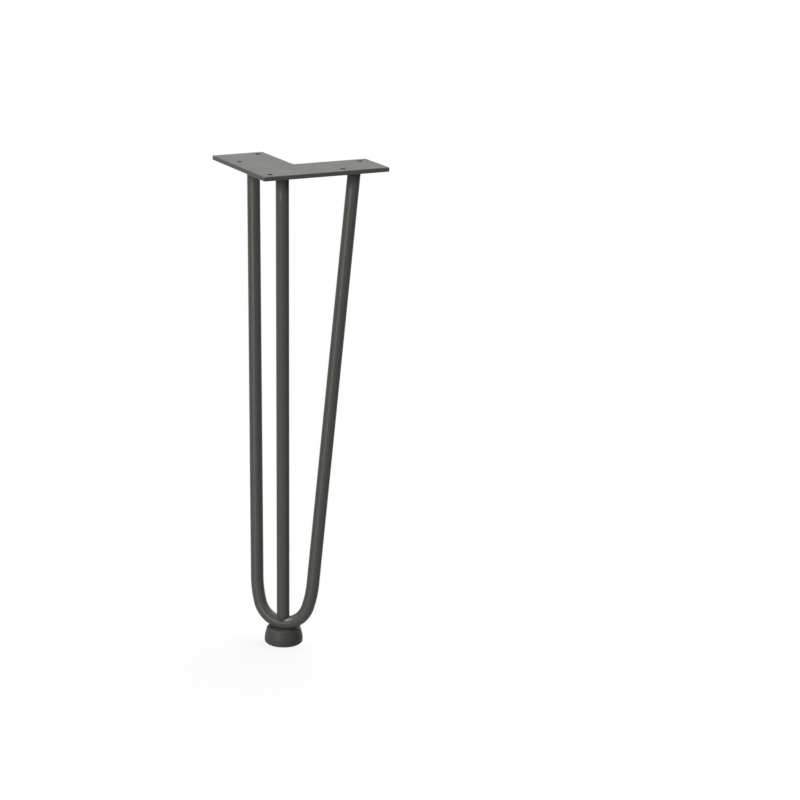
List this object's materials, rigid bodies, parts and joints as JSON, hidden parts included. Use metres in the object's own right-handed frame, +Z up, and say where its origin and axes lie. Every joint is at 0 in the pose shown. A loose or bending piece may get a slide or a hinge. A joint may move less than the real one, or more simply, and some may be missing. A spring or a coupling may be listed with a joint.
{
  "type": "hairpin table leg",
  "caption": "Welded steel hairpin table leg: an L-shaped screw-on plate, a leaning hairpin rod with a straight rod inside it, and a moulded foot.",
  "frame": {"origin": "on the mounting plate's top face, straight above the centre rod", "axes": "+Z up, out of the face that meets the table top; +Y from the plate's outer corner to its inner corner; the leg is symmetric about X = 0"},
  "size_m": [0.172, 0.1211, 0.45],
  "materials": {
    "coated_steel": "satin powder coat in a warm anthracite grey",
    "foot_plastic": "matt moulded plastic in dark grey"
  },
  "bodies": {
    "root": {"mounting_plate": "coated_steel", "hairpin_rod": "coated_steel", "centre_rod": "coated_steel", "weld_left": "coated_steel", "weld_right": "coated_steel", "weld_centre": "coated_steel", "foot": "foot_plastic"}
  },
  "joints": []
}
